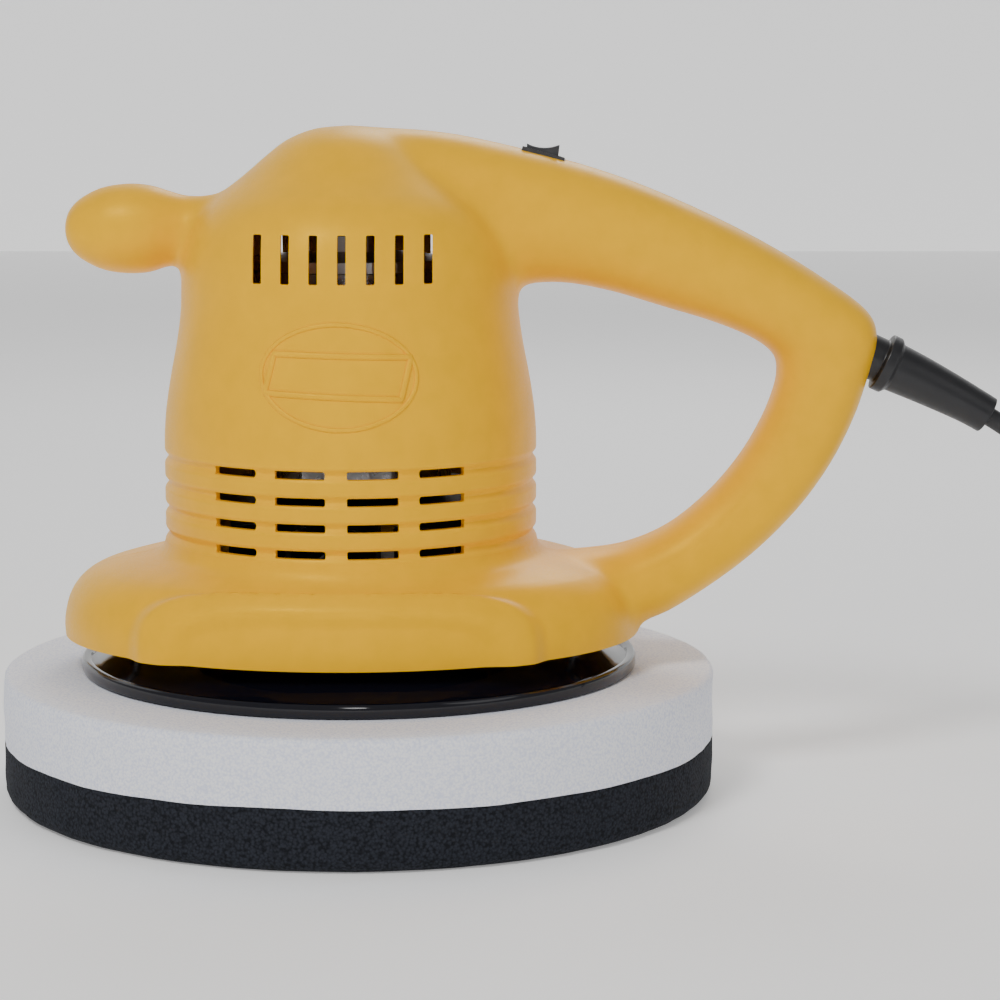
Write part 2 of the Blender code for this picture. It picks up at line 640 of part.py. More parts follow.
def sleeve_hole():
    """The hole in the handle's corner: the sleeve's neck with clearance, and a seat for its outer flange."""
    (x0, z0, r0), (x1, z1, _) = SLEEVE[2], SLEEVE[3]
    ux, uz = (x1 - x0) / math.hypot(x1 - x0, z1 - z0), (z1 - z0) / math.hypot(x1 - x0, z1 - z0)
    inner, outer = 10.0 + GAP, r0 + GAP
    rows = [(-14.0, inner), (0.2, inner), (0.25, outer), (8.3, outer), (8.35, inner), (30.0, inner)]
    return loft(sleeve_rings([(x0 + ux * s, z0 + uz * s, r) for s, r in rows]))


def make_cord(rubber, sheath, tie, plug, brass, steel):
    new_object("cord_sleeve", loft(sleeve_rings(SLEEVE)), rubber)
    tube("cord_tail", ((165.7, 0.0, 150.6), (157.0, 0.0, 154.6), (148.0, 0.0, 158.6)), CORD_D, 5.0, sheath)
    new_object("cord_clamp", rounded_block((153.0, -9.0, 160.0), (159.0, 9.0, 163.2), 0.5), plug)
    for number, y in ((1, -6.5), (2, 6.5)):
        outline = [(0, 152.0), (1.3, 152.0), (1.3, 159.7), (0, 159.7)]
        new_object(f"clamp_screw_{number}", turned(outline, 10, at(156.0, y)), steel)
    tube("cord_run", ROUTE, CORD_D, 2.2 * CORD_D, sheath)
    low, high = COIL_Z
    inner, outer = COIL_R
    new_object("cord_coil", turned(tube_profile(inner, outer, low, high, 2.5), 32, at(*COIL_AT)), sheath)
    end = ((374.4, 76.4, 15.9), (375.2, 84.0, 13.6), (375.8, 92.0, 11.0), (376.0, 98.7, 10.2))
    tube("cord_end", end, CORD_D, 6.0, sheath)
    x, y = COIL_AT
    wide, bow = 5.0, 1.0  # half the strap's width, and how far the ring's inside curves within it
    band = block((x - wide, y + inner - bow - 0.8, 0.0), (x + wide, y + outer + 1.1, high + 1.1))
    strap = new_object("coil_tie", band, tie)
    slot = block((x - 9, y + inner - bow, low - GAP), (x + 9, y + outer + GAP, high + GAP))
    boolean(strap, slot, "DIFFERENCE")
    make_plug(plug, brass)


def make_plug(mat, brass):
    x, y, z = PLUG_AT
    sections = ((0, 4.6, 4.6), (9, 5.6, 5.4), (14, 8.8, 7.6), (22, 12.6, 9.8), (37, 13.0, 10.0),
                (40, 12.2, 9.3))
    steps, rings = 20, []
    for s, wide, tall in sections:
        turns = [superellipse(2 * math.pi * k / steps, 2.8) for k in range(steps)]
        rings.append([(x + wide * c, y + s, z + tall * q) for c, q in turns])
    new_object("plug_body", loft(rings), mat)
    for number, side in ((1, -6.35), (2, 6.35)):
        low = (x + side - 0.75, y + 40.0 + GAP, z - 3.2)
        new_object(f"plug_blade_{number}", block(low, (x + side + 0.75, y + 57.0, z + 3.2)), brass)


def main():
    clear_scene()
    yellow = material("yellow_plastic", (0.95, 0.55, 0.006), 0.4)
    black = material("black_plastic", (0.02, 0.02, 0.022), 0.4)
    gloss = material("gloss_black", (0.008, 0.008, 0.012), 0.12)
    rubber = material("rubber", (0.02, 0.02, 0.022), 0.6)
    sheath = material("cord_sheath", (0.018, 0.018, 0.02), 0.55)
    steel = material("steel", (0.6, 0.6, 0.6), 0.3, 1.0)
    alloy = material("alloy", (0.75, 0.75, 0.76), 0.35, 1.0)
    iron = material("cast_iron", (0.18, 0.18, 0.19), 0.5, 1.0)
    copper = material("copper", (0.72, 0.3, 0.12), 0.35, 1.0)
    brass = material("brass", (0.75, 0.55, 0.25), 0.3, 1.0)
    magnet = material("ferrite", (0.06, 0.06, 0.06), 0.6)
    carbon = material("carbon", (0.03, 0.03, 0.03), 0.7)
    white = material("white_foam", (0.8, 0.82, 0.87), 0.95)
    dark = material("dark_foam", (0.02, 0.022, 0.027), 0.95)
    hook = material("hook_fabric", (0.05, 0.05, 0.05), 0.9)
    brown = material("brown_insulation", (0.2, 0.08, 0.03), 0.45)
    blue = material("blue_insulation", (0.03, 0.1, 0.4), 0.45)
    red = material("red_insulation", (0.5, 0.03, 0.02), 0.45)

    motor_axis = empty("motor_axis", 0, 0, 100.0)
    pad_axis = empty("pad_axis", *SPINDLE, 52.0)
    rocker_axis = empty("rocker_axis", *(switch_frame() @ Vector((0, 0, ROCKER_PIVOT))))

    make_housing(yellow)
    make_housing_screws(steel)
    make_motor_case(steel, alloy, black, rubber)
    make_magnets(magnet)
    make_brushes(brass, carbon)
    make_armature(motor_axis, steel, iron, copper)
    make_fan(motor_axis, black)
    make_counterweight(motor_axis, iron, steel)
    make_pad(pad_axis, gloss, steel, hook, white, dark)
    make_switch(rocker_axis, black, brass)
    make_electrics(black, brown)
    make_leads(brown, blue, red, black)
    make_cord(rubber, sheath, hook, black, brass, steel)


main()
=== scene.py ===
"""Orbital car polisher: the looks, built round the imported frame.

Shapes are in millimetres in the frame's own coordinates, and new_piece turns them into metres.
"""

import json
import math

import bmesh
import bpy
import numpy as np
from mathutils import Matrix, Vector, noise
from mathutils.bvhtree import BVHTree


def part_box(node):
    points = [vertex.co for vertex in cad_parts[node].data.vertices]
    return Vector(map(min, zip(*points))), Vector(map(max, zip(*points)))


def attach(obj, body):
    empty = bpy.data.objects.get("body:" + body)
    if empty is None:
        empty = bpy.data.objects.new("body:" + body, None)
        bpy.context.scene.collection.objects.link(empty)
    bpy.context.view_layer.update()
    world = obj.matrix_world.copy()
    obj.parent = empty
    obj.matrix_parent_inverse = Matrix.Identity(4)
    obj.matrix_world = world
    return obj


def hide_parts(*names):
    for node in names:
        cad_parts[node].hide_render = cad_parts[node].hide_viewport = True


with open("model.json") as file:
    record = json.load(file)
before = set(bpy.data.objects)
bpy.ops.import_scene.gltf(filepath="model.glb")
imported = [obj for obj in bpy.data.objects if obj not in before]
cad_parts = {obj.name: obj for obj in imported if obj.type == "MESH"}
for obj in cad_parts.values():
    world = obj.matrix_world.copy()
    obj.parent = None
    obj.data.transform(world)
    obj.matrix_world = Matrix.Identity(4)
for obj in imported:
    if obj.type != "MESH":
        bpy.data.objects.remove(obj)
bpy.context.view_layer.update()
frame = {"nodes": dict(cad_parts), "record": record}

MM = 0.001
GAP = 0.3  # between pieces that touch, in millimetres

# Studio, in metres
CAMERA_AT, CAMERA_DIP = (0.0499, -0.9805, 0.2375), 0.141
CAMERA_LENS, CAMERA_SENSOR = 106.08, 36.0
MIDDLE = (0.02, 0.0, 0.12)
LAMPS = (  # name, place, aim, size and power
    ("key", (-0.45, -1.0, 1.25), MIDDLE, 0.45, 12.5),
    ("fill", (1.2, -0.9, 0.6), MIDDLE, 0.9, 2.0),
    ("rim", (0.3, 1.2, 1.1), MIDDLE, 0.8, 6.0),
    ("low", (0.02, -1.35, 0.34), (0.0, 0.0, 0.05), 0.22, 1.2),
)
WORLD_STRENGTH, FLOOR_GLOW, BACKDROP_GLOW = 0.32, 0.22, 0.55
FLOOR_SIZE, BACKDROP_SIZE, BACKDROP_AT = 8.0, 9.0, (0, 3.2, 1.5)
PAPER = (0.93, 0.93, 0.93)
NOISE_RANGE, PORE_RANGE = (0.3, 0.7), (0.12, 0.42)  # where most of a texture's values lie

# Housing outlines, in millimetres
ROWS = (89.1, 97.6, 106.0, 114.5)  # heights of the louvre rows, each in a groove round the barrel
LOUVRE_ANGLES = (-34.7, -12.7, 9.3, 31.3)  # from the front or the back, in degrees
LOUVRE = 16.4, 2.7  # width and height
LOUVRE_REACH = 50.0, 70.0  # radii the louvre cutters run between
VENT_X = [-27.0 + 9.03 * i for i in range(7)]
VENT_Z = 174.2, 189.6
VENT_WIDTH = 2.7
VENT_REACH = 35.3, 63.1  # distances from the parting plane the vent cutters run between
GROOVE_HALF, GROOVE_DEPTH = 2.5, 1.3
GROOVE_LIP = 0.02  # lifts the groove cutter's edges clear of the barrel
TRIM = 4.0  # the skirt is made this much too long, then cut off level
WALL = 2.9
BARREL_R, BARREL_BASE = 62.1, 70.0
BARREL = (  # radius and height, upwards
    (62.1, 70.0), (62.1, 121.0), (61.4, 130.0), (59.7, 141.0), (57.5, 152.5), (56.1, 163.0), (55.8, 174.0),
    (54.9, 182.0), (52.4, 189.5), (48.6, 195.5), (44.2, 199.8), (38.5, 204.2), (33.0, 208.6),
    (27.5, 213.3), (20.5, 218.6), (11.0, 222.3), (0.0, 223.5),
)
KNOB_Z = 189.3
KNOB = (  # x and radius
    (-94.5, 0.0), (-93.6, 4.5), (-91.0, 8.4), (-86.5, 11.6), (-80.5, 14.0), (-73.0, 14.9),
    (-66.0, 14.4), (-60.0, 12.6), (-53.0, 10.9), (-44.0, 11.6), (-34.0, 13.0),
)
SKIRT = (  # half length, half width and height, upwards from the lower edge
    (96.2, 76.0, 54.6), (96.5, 76.3, 58.0), (96.0, 75.9, 62.5), (94.4, 74.6, 68.0),
    (91.0, 72.0, 73.0), (85.5, 69.0, 76.8), (77.0, 66.0, 79.3), (66.0, 63.5, 81.6),
)
HANDLE = (  # outer x and z, inner x and z, half width, from the crown to the skirt
    (0.0, 223.2, 30.0, 165.0, 22.0), (30.0, 221.3, 42.0, 168.0, 21.5),
    (62.0, 214.6, 66.0, 171.6, 19.6), (88.0, 207.1, 84.5, 169.2, 18.4),
    (112.0, 197.5, 104.5, 163.4, 17.6), (135.0, 186.3, 121.0, 158.4, 17.0),
    (155.5, 174.2, 134.0, 153.0, 16.6), (172.3, 161.8, 141.0, 147.6, 16.2),
    (175.5, 151.5, 142.2, 142.0, 16.0), (172.8, 141.0, 141.0, 135.5, 15.6),
    (168.3, 127.0, 137.0, 125.5, 15.0), (160.5, 111.0, 130.0, 113.5, 14.6),
    (149.5, 95.5, 119.5, 101.0, 14.6), (134.0, 80.0, 106.0, 90.0, 15.2),
    (115.5, 66.5, 91.0, 83.7, 17.0), (101.0, 58.6, 74.0, 81.5, 19.5), (86.0, 55.4, 58.0, 80.0, 22.0),
)
SQUARENESS = 2.3  # exponent of the handle's rounded section
SCREWS = (  # x and z of each
    (-78.0, 189.3), (-46.0, 150.0), (46.0, 150.0), (-83.0, 66.0),
    (83.0, 67.0), (108.0, 181.0), (155.0, 131.0), (127.0, 97.0),
)
SWITCH_AT, SWITCH_TILT = (64.2, 0.0, 214.0), math.radians(15.6)
ROCKER_PIVOT, ROCKER_SWING = -0.8, math.radians(13)
SLEEVE = (  # x, z and radius along its centre line
    (166.0, 150.4, 10.0), (169.0, 149.0, 10.0), (169.3, 148.8, 7.4), (177.0, 145.3, 7.4),
    (177.3, 145.1, 9.8), (180.3, 143.7, 9.8), (181.6, 143.1, 8.2), (190.0, 139.2, 7.7),
    (200.0, 134.2, 7.0), (207.5, 130.2, 6.5), (213.0, 127.0, 6.3),
)
SPLIT, FAR = 0.15, 260.0  # half the gap between the halves, and a distance beyond everything
ARCH_MIDDLE, ARCH_BASE, ARCH_TOP = -2.0, 54.0, 82.0
ARCH_BAND = (64.0, 22.5, 0.06, 3.2)  # half width, height, softness and rise of the raised arch
ARCH_PANEL = (51.0, 15.5, 0.10, 3.2)  # the same for the panel sunk into it
ARCH_NEAR, ARCH_FADE = 40.0, 10.0  # distance from the parting plane where it starts, and fades in over
ROLL_Z, ROLL_HEIGHT = 62.0, 14.0  # where the skirt starts to roll inwards, and over what height
VOXEL, QUICK_VOXEL = 0.00137, 0.0024  # in metres
FILLET, QUICK_FILLET = 45, 18  # smoothing passes over the creases
CREASE_REACH, CREASE_SEARCH = 0.011, 0.02  # in metres
EMBLEM_AT, EMBLEM_TILT = (-1.0, 145.4), math.radians(-2.0)
EMBLEM_OVAL = 24.6, 16.4
EMBLEM_CORNERS = ((-20.6, 6.4), (22.6, 6.8), (20.0, -6.4), (-23.2, -6.0))
PAD_R, PAD_SPLIT, PAD_TOP = 120.0, 19.5, 42.1

# Cord
CORD_D = 6.5
ROUTE = (  # from the sleeve's end to the coil
    (213.3, 0.0, 126.8), (223.0, 0.0, 120.4), (231.5, 0.0, 112.0), (238.5, -1.0, 101.0),
    (243.5, -2.0, 88.0), (247.0, -3.0, 74.0), (250.0, -3.5, 59.0), (254.0, -3.5, 44.5),
    (260.5, -3.0, 31.0), (270.0, -2.0, 19.0), (282.0, -1.0, 9.8), (295.0, 0.0, 4.9),
    (307.0, 0.0, 3.4),
)
COIL_AT = (332.0, 45.5)
COIL_LAYERS = (  # height, the radius the turns start and end at, and how many turns
    (4.4, 45.4, 26.1, 3.5), (10.8, 29.3, 42.2, 3.5), (17.3, 39.0, 26.4, 1.5), (17.3, 26.4, 42.2, 1.75),
)
COIL_STEPS, COIL_CLIMB = 36, 0.3  # points in a turn, and the part of a turn that climbs a layer
CORD_SMOOTHING = 3
CORD_END = ((374.4, 76.4, 15.9), (375.2, 84.0, 13.6), (375.8, 92.0, 11.0), (376.0, 98.7, 10.2))


# ---------------------------------------------------------------- camera, light and floor


def make_camera():
    data = bpy.data.cameras.new("camera")
    data.lens, data.sensor_width = CAMERA_LENS, CAMERA_SENSOR
    camera = bpy.data.objects.new("camera", data)
    camera.location = CAMERA_AT
    camera.rotation_euler = (math.pi / 2 - CAMERA_DIP, 0, 0)
    bpy.context.scene.collection.objects.link(camera)
    bpy.context.scene.camera = camera


def area_light(name, place, target, size, power):
    data = bpy.data.lights.new(name, "AREA")
    data.shape, data.size, data.energy = "DISK", size, power
    lamp = bpy.data.objects.new(name, data)
    lamp.location = place
    lamp.rotation_euler = (Vector(target) - Vector(place)).to_track_quat("-Z", "Y").to_euler()
    bpy.context.scene.collection.objects.link(lamp)


def glow(strength):
    return (("Emission Color", (1.0, 1.0, 1.0, 1.0)), ("Emission Strength", strength))

def make_studio():
    world = bpy.data.worlds.new("studio")
    world.use_nodes = True
    background = world.node_tree.nodes["Background"]
    background.inputs["Color"].default_value = (1.0, 1.0, 1.0, 1.0)
    background.inputs["Strength"].default_value = WORLD_STRENGTH
    bpy.context.scene.world = world
    for lamp in LAMPS:
        area_light(*lamp)
    bpy.ops.mesh.primitive_plane_add(size=FLOOR_SIZE)
    floor = bpy.context.object
    floor.name = "floor"
    floor.data.materials.append(surface("floor", PAPER, 0.8, bump=0.02, scale=60.0, vary=0.01,
                                        extra=glow(FLOOR_GLOW)))
    bpy.ops.mesh.primitive_plane_add(size=BACKDROP_SIZE, location=BACKDROP_AT, rotation=(math.pi / 2, 0, 0))
    backdrop = bpy.context.object
    backdrop.name = "backdrop"
    backdrop.data.materials.append(surface("backdrop", PAPER, 0.9, bump=0.02, scale=9.0, vary=0.01,
                                           extra=glow(BACKDROP_GLOW)))

# ---------------------------------------------------------------- materials


def surface(name, colour, roughness, metallic=0.0, bump=0.1, scale=400.0, vary=0.08, rough_vary=0.08,
            depth=1e-4, stretch=(1, 1, 1), extra=()):
    """A principled material with noise in its colour, roughness and bump.

    vary and rough_vary are how far the colour and the roughness stray, depth is the bump's height in
    metres, and extra sets further sockets by name.
    """
    mat = bpy.data.materials.new(name)
    mat.use_nodes = True
    nodes, links = mat.node_tree.nodes, mat.node_tree.links
    shader = nodes["Principled BSDF"]
    shader.inputs["Metallic"].default_value = metallic
    for socket, value in extra:
        shader.inputs[socket].default_value = value
    place = nodes.new("ShaderNodeTexCoord")
    mapping = nodes.new("ShaderNodeMapping")
    mapping.inputs["Scale"].default_value = stretch
    links.new(place.outputs["Object"], mapping.inputs["Vector"])
    fine = nodes.new("ShaderNodeTexNoise")
    fine.inputs["Scale"].default_value = scale
    fine.inputs["Detail"].default_value = 5.0
    broad = nodes.new("ShaderNodeTexNoise")
    broad.inputs["Scale"].default_value = scale / 12
    broad.inputs["Detail"].default_value = 3.0
    for texture in (fine, broad):
        links.new(mapping.outputs["Vector"], texture.inputs["Vector"])
    ramp = nodes.new("ShaderNodeValToRGB")
    ramp.color_ramp.elements[0].position, ramp.color_ramp.elements[1].position = NOISE_RANGE
    ramp.color_ramp.elements[0].color = (*(c * (1 - vary) for c in colour), 1)
    ramp.color_ramp.elements[1].color = (*(min(1.0, c * (1 + vary)) for c in colour), 1)
    links.new(broad.outputs["Fac"], ramp.inputs["Fac"])
    links.new(ramp.outputs["Color"], shader.inputs["Base Color"])
    spread = nodes.new("ShaderNodeMapRange")
    spread.inputs["From Min"].default_value, spread.inputs["From Max"].default_value = NOISE_RANGE
    spread.inputs["To Min"].default_value = max(0.02, roughness - rough_vary)
    spread.inputs["To Max"].default_value = min(1.0, roughness + rough_vary)
    links.new(fine.outputs["Fac"], spread.inputs["Value"])
    links.new(spread.outputs["Result"], shader.inputs["Roughness"])
    relief = nodes.new("ShaderNodeBump")
    relief.inputs["Strength"].default_value = bump
    relief.inputs["Distance"].default_value = depth
    links.new(fine.outputs["Fac"], relief.inputs["Height"])
    links.new(relief.outputs["Normal"], shader.inputs["Normal"])
    return mat


def foam(name, colour, pore_shade, cell, strength, depth):
    """Open-cell foam: pores of one size with painted shade in their hollows, over a soft uneven ground."""
    mat = surface(name, colour, 0.95, bump=strength, scale=1800.0, vary=0.05, depth=depth,
                  extra=(("Specular IOR Level", 0.25),))
    nodes, links = mat.node_tree.nodes, mat.node_tree.links
    shader, relief = nodes["Principled BSDF"], nodes["Bump"]
    mapping = nodes["Mapping"]
    pores = nodes.new("ShaderNodeTexVoronoi")
    pores.inputs["Scale"].default_value = cell
    links.new(mapping.outputs["Vector"], pores.inputs["Vector"])
    grain = nodes.new("ShaderNodeTexNoise")
    grain.inputs["Scale"].default_value = cell * 0.9
    grain.inputs["Detail"].default_value = 4.0
    links.new(mapping.outputs["Vector"], grain.inputs["Vector"])
    mixed = nodes.new("ShaderNodeMath")
    mixed.operation = "MULTIPLY"
    links.new(pores.outputs["Distance"], mixed.inputs[0])
    links.new(grain.outputs["Fac"], mixed.inputs[1])
    # painted shade: the ramp blends from the foam's colour to its darker second colour in the pore hollows,
    # where the bump sinks
    tone = nodes.new("ShaderNodeValToRGB")
    tone.color_ramp.elements[0].position, tone.color_ramp.elements[1].position = PORE_RANGE
    tone.color_ramp.elements[0].color = (*colour, 1)
    tone.color_ramp.elements[1].color = (*pore_shade, 1)
    links.new(mixed.outputs[0], tone.inputs["Fac"])
    links.new(tone.outputs["Color"], shader.inputs["Base Color"])
    relief.invert = True
    links.new(mixed.outputs[0], relief.inputs["Height"])
    return mat


def make_materials():
    return {
        "yellow_plastic": surface("yellow", (0.97, 0.50, 0.0), 0.38, bump=0.12, scale=1400.0, vary=0.03,
                                  extra=(("Specular IOR Level", 0.45),
                                         ("Specular Tint", (1.0, 0.62, 0.05, 1.0)))),
        "black_plastic": surface("black", (0.02, 0.02, 0.022), 0.38, bump=0.2, scale=700.0),
        "gloss_black": surface("gloss_black", (0.004, 0.004, 0.008), 0.1, bump=0.03, scale=120.0,
                               rough_vary=0.04),
        "rubber": surface("rubber", (0.012, 0.012, 0.014), 0.38, bump=0.25, scale=600.0),
        "cord_sheath": surface("sheath", (0.014, 0.014, 0.016), 0.45, bump=0.2, scale=500.0),
        "steel": surface("steel", (0.55, 0.55, 0.56), 0.3, 1.0, bump=0.3, scale=300.0, vary=0.25),
        "alloy": surface("alloy", (0.7, 0.7, 0.72), 0.35, 1.0, bump=0.4, scale=260.0, vary=0.25),
        "iron": surface("iron", (0.16, 0.16, 0.17), 0.5, 1.0, bump=0.5, scale=420.0, vary=0.3),
        "copper": surface("copper", (0.6, 0.22, 0.08), 0.35, 1.0, bump=0.6, scale=90.0, vary=0.2,
                          stretch=(1, 1, 30)),
        "brass": surface("brass", (0.75, 0.5, 0.2), 0.25, 1.0, bump=0.1, scale=300.0, vary=0.1),
        "ferrite": surface("ferrite", (0.05, 0.05, 0.055), 0.6, bump=0.4, scale=500.0),
        "carbon": surface("carbon", (0.03, 0.03, 0.03), 0.7, bump=0.4, scale=700.0),
        # each foam's second colour is the painted shade in its pore hollows
        "white_foam": foam("white_foam", (0.95, 0.96, 1.0), (0.74, 0.77, 0.90), 1200.0, 0.5, 3e-4),
        "dark_foam": foam("dark_foam", (0.022, 0.025, 0.034), (0.006, 0.007, 0.010), 1000.0, 0.9, 5e-4),
        "hook_fabric": surface("hooks", (0.04, 0.04, 0.042), 0.9, bump=1.0, scale=900.0, vary=0.3,
                               depth=4e-4),
        "brown_insulation": surface("brown", (0.18, 0.07, 0.03), 0.4, bump=0.1),
        "blue_insulation": surface("blue", (0.03, 0.1, 0.4), 0.4, bump=0.1),
        "red_insulation": surface("red", (0.5, 0.03, 0.02), 0.4, bump=0.1),
        "black_insulation": surface("black_lead", (0.02, 0.02, 0.02), 0.4, bump=0.1),
    }


def paint_frame(mats):
    """Every CAD node gets its slot's material."""
    slots = {s["node"]: s["material_slot"] for s in frame["record"]["subparts"]}
    for name, obj in frame["nodes"].items():
        obj.data.materials.clear()
        obj.data.materials.append(mats[slots[name]])


# ---------------------------------------------------------------- geometry


def spline_at(points, place):
    """A Catmull-Rom curve through rows of numbers, at a place from 0 to the last row."""
    last = len(points) - 1
    i = min(int(place), last - 1)
    t = place - i
    a, b, c, d = (points[min(max(k, 0), last)] for k in (i - 1, i, i + 1, i + 2))
    return [
        0.5 * (2 * q + (r - p) * t + (2 * p - 5 * q + 4 * r - s) * t * t + (3 * q - p - 3 * r + s) * t ** 3)
        for p, q, r, s in zip(a, b, c, d)
    ]


def refined(points, between):
    """Rows of numbers with extra rows read from the smooth curve through them."""
    return [spline_at(points, i / between) for i in range(between * (len(points) - 1) + 1)]


def superellipse(angle, exponent):
    """A point of a rounded square: exponent 2 is a circle, and larger ones are squarer."""
    c, s = math.cos(angle), math.sin(angle)
    return (math.copysign(abs(c) ** (2 / exponent), c), math.copysign(abs(s) ** (2 / exponent), s))


def inset(points, distance):
    """An outline moved inwards along its own normals."""
    moved = []
    for i, (x, z) in enumerate(points):
        x0, z0 = points[max(i - 1, 0)]
        x1, z1 = points[min(i + 1, len(points) - 1)]
        dx, dz = x1 - x0, z1 - z0
        length = math.hypot(dx, dz)
        moved.append((x - distance * dz / length, z + distance * dx / length))
    return moved


def turned(profile, steps, matrix=None):
    """A closed outline of (radius, height) turned about Z."""
    bm = bmesh.new()
    verts = [bm.verts.new((r, 0, z)) for r, z in profile]
    for a, b in zip(verts, verts[1:] + verts[:1]):
        if a.co.x > 0 or b.co.x > 0:
            bm.edges.new((a, b))
    bmesh.ops.spin(bm, geom=bm.verts[:] + bm.edges[:], cent=(0, 0, 0), axis=(0, 0, 1),
                   angle=2 * math.pi, steps=steps, use_merge=True)
    bmesh.ops.remove_doubles(bm, verts=bm.verts, dist=1e-3)
    if matrix:
        bm.transform(matrix)
    return bm


def block(low, high, matrix=None):
    bm = bmesh.new()
    bmesh.ops.create_cube(bm, size=1.0)
    low, high = Vector(low), Vector(high)
    bmesh.ops.scale(bm, vec=high - low, verts=bm.verts)
    bmesh.ops.translate(bm, vec=(low + high) / 2, verts=bm.verts)
    if matrix:
        bm.transform(matrix)
    return bm


def loft(rings, closed=False):
    """Faces between rings of points, with end caps, or with the last ring joined to the first."""
    bm = bmesh.new()
    made = [[bm.verts.new(p) for p in ring] for ring in rings]
    count = len(made[0])
    pairs = list(zip(made, made[1:])) + ([(made[-1], made[0])] if closed else [])
    for one, two in pairs:
        for i in range(count):
            j = (i + 1) % count
            bm.faces.new((one[i], one[j], two[j], two[i]))
    if not closed:
        bm.faces.new(made[0])
        bm.faces.new(reversed(made[-1]))
    return bm


def merged(*parts):
    """Several bmeshes as one, without joining them."""
    whole = bmesh.new()
    for part in parts:
        mesh = bpy.data.meshes.new("part")
        part.to_mesh(mesh)
        part.free()
        whole.from_mesh(mesh)
        bpy.data.meshes.remove(mesh)
    return whole


def new_piece(name, bm, mat, angle=35.0):
    """A mesh object from a bmesh in millimetres."""
    bmesh.ops.recalc_face_normals(bm, faces=bm.faces)
    bm.transform(Matrix.Scale(MM, 4))
    mesh = bpy.data.meshes.new(name)
    bm.to_mesh(mesh)
    bm.free()
    mesh.shade_smooth()
    mesh.set_sharp_from_angle(angle=math.radians(angle))
    mesh.materials.append(mat)
    obj = bpy.data.objects.new(name, mesh)
    bpy.context.scene.collection.objects.link(obj)
    return obj


def settle(obj):
    """Applies an object's modifiers."""
    bpy.context.view_layer.update()
    result = bpy.data.meshes.new_from_object(obj.evaluated_get(bpy.context.evaluated_depsgraph_get()))
    obj.modifiers.clear()
    old, obj.data = obj.data, result
    bpy.data.meshes.remove(old)


def boolean(obj, tool, operation):
    other = new_piece("tool", tool, obj.data.materials[0])
    modifier = obj.modifiers.new(operation.lower(), "BOOLEAN")
    modifier.operation, modifier.solver, modifier.object = operation, "EXACT", other
    settle(obj)
    bpy.data.objects.remove(other, do_unlink=True)


def rounded(obj, width, segments=3):
    """Gives an object's sharp edges a small bevel."""
    modifier = obj.modifiers.new("rounding", "BEVEL")
    modifier.width, modifier.segments = width * MM, segments
    modifier.limit_method = "ANGLE"
    return obj


def copy_mm(obj):
    bm = bmesh.new()
    bm.from_mesh(obj.data)
    bm.transform(Matrix.Scale(1 / MM, 4))
    return bm


def along_x(z):
    return Matrix.Translation((0, 0, z)) @ Matrix.Rotation(math.pi / 2, 4, "Y")


def along_y(x, z):
    return Matrix.Translation((x, 0, z)) @ Matrix.Rotation(-math.pi / 2, 4, "X")


def switch_frame():
    return Matrix.Translation(SWITCH_AT) @ Matrix.Rotation(SWITCH_TILT, 4, "Y")


# ---------------------------------------------------------------- cord


def coil_turns():
    """The cord's line round the coil: in, out, in and out again, climbing from layer to layer."""
    x, y = COIL_AT
    angle, points = -math.pi / 2, []
    for k, (height, start, end, count) in enumerate(COIL_LAYERS):
        steps = int(count * COIL_STEPS)
        rise = COIL_LAYERS[k + 1][0] - height if k + 1 < len(COIL_LAYERS) else 0.0
        climb = COIL_CLIMB / count
        for i in range(steps):
            t = i / steps
            lift = rise * max(0.0, (t - 1 + climb) / climb)
            r = start + (end - start) * t
            points.append((x + r * math.cos(angle), y + r * math.sin(angle), height + lift))
            angle += 2 * math.pi * count / steps
    return points

def make_cord(mats):
    """One cord from the sleeve down to the floor, round its coil and out to the plug."""
    points = [Vector(p) for p in refined(ROUTE, 6) + coil_turns() + refined(CORD_END, 6)]
    for _ in range(CORD_SMOOTHING):
        inner = [(a + b * 2 + c) / 4 for a, b, c in zip(points, points[1:], points[2:])]
        points = [points[0], *inner, points[-1]]
    data = bpy.data.curves.new("mains_cord", "CURVE")
    data.dimensions, data.bevel_depth, data.bevel_resolution = "3D", CORD_D / 2 * MM, 5
    data.use_fill_caps = True
    spline = data.splines.new("POLY")
    spline.points.add(len(points) - 1)
    for point, place in zip(spline.points, points):
        point.co = (*(place * MM), 1.0)
    data.materials.append(mats["cord_sheath"])
    cord = bpy.data.objects.new("mains_cord", data)
    bpy.context.scene.collection.objects.link(cord)
    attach(cord, "housing")
    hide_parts("cord_run", "cord_coil", "cord_end")
    plug = make_plug(mats)
    tie = make_tie(mats)


def make_plug(mats):
    """The moulded plug: a slim neck that swells into a body with grip ribs."""
    low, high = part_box("plug_body")
    x, y, z = (low[0] + high[0]) / 2 / MM, low[1] / MM, (low[2] + high[2]) / 2 / MM
    sections = ((0, 4.4, 4.4), (1, 4.6, 4.6), (9, 5.6, 5.4), (12, 7.2, 6.4), (16, 10.2, 8.6), (22, 12.5, 9.7),
                (30, 12.9, 9.9), (37, 12.9, 9.9), (39.2, 12.5, 9.6), (39.9, 11.6, 8.8))
    rings, steps, squareness = [], 48, 2.8
    first, last, pitch, depth = 20, 34, 1.2, 0.35  # where the grip ribs run, their pitch and their depth
    for s, wide, tall in refined(sections, 4):
        ring = [superellipse(2 * math.pi * k / steps, squareness) for k in range(steps)]
        grip = depth if first < s < last and int(s / pitch) % 2 else 0.0
        rings.append([(x + (wide - grip) * c, y + s, z + (tall - grip) * q) for c, q in ring])
    plug = new_piece("plug_shell", loft(rings), mats["black_plastic"], 50.0)
    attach(plug, "housing")
    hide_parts("plug_body")
    return plug


